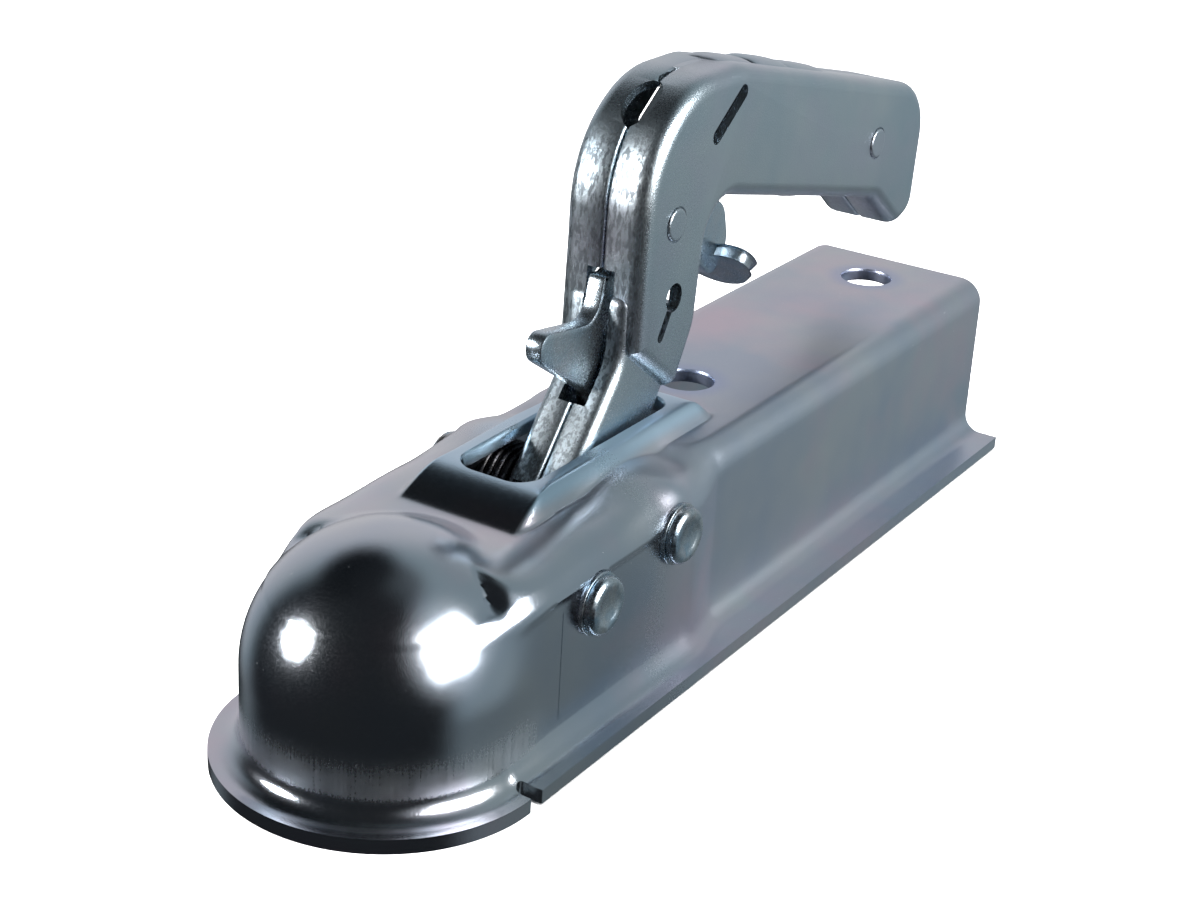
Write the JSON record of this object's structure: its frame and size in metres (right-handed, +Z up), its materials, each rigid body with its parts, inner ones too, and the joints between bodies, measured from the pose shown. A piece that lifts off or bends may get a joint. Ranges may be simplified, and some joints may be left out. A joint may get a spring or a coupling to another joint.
{
  "type": "trailer coupling head",
  "caption": "Pressed steel coupling head for a square drawbar: a ball dome with a swinging jaw, and a lifting handle with a thumb latch.",
  "frame": {"origin": "centre of the coupling ball, inside the dome", "axes": "+X along the drawbar towards the nose, +Y to the left, +Z up out of the dome"},
  "size_m": [0.2478, 0.0684, 0.1178],
  "materials": {
    "housing_zinc": "zinc plated pressed sheet, satin",
    "handle_zinc": "zinc plated pressed sheet, semi gloss",
    "bright_zinc": "bright zinc plating",
    "dark_steel": "oiled dark steel",
    "spring_steel": "drawn spring wire, dark"
  },
  "bodies": {
    "housing": {"housing": "housing_zinc", "jaw_pin": "bright_zinc", "jaw_pin_washers": "bright_zinc", "handle_pin": "bright_zinc", "handle_pin_washers": "bright_zinc", "jaw_spacers": "dark_steel", "handle_spacers": "dark_steel", "lock_sector": "dark_steel", "jaw_spring_left": "spring_steel", "jaw_spring_right": "spring_steel", "main_spring_left": "spring_steel", "main_spring_right": "spring_steel"},
    "jaw": {"jaw": "dark_steel"},
    "handle": {"handle_shell_left": "handle_zinc", "handle_shell_right": "handle_zinc", "cam_plate_left": "dark_steel", "cam_plate_right": "dark_steel", "latch_rivet": "bright_zinc", "latch_spacers": "dark_steel", "grip_rivet": "bright_zinc", "grip_spacer": "dark_steel", "latch_spring": "spring_steel"},
    "latch": {"safety_latch": "bright_zinc"}
  },
  "joints": [
    {"name": "handle_hinge", "type": "hinge", "parent": "housing", "child": "handle", "pos_m": [-0.0585, 0, 0.013], "axis": [0, 1, 0], "range_deg": [0, 40], "stiffness_Nm_per_rad": 0.5, "springref_deg": -14.32, "deforming": ["main_spring_left", "main_spring_right"]},
    {"name": "jaw_hinge", "type": "hinge", "parent": "housing", "child": "jaw", "pos_m": [-0.029, 0, 0.0095], "axis": [0, 1, 0], "range_deg": [0, 14], "deforming": ["jaw_spring_left", "jaw_spring_right"]},
    {"name": "latch_hinge", "type": "hinge", "parent": "handle", "child": "latch", "pos_m": [-0.0808, 0, 0.0685], "axis": [0, 1, 0], "range_deg": [0, 8], "stiffness_Nm_per_rad": 0.3, "springref_deg": -20.05, "deforming": ["latch_spring"]}
  ],
  "couplings": [
    {"joint": "jaw_hinge", "follows": "handle_hinge", "ratio": 0.35}
  ]
}
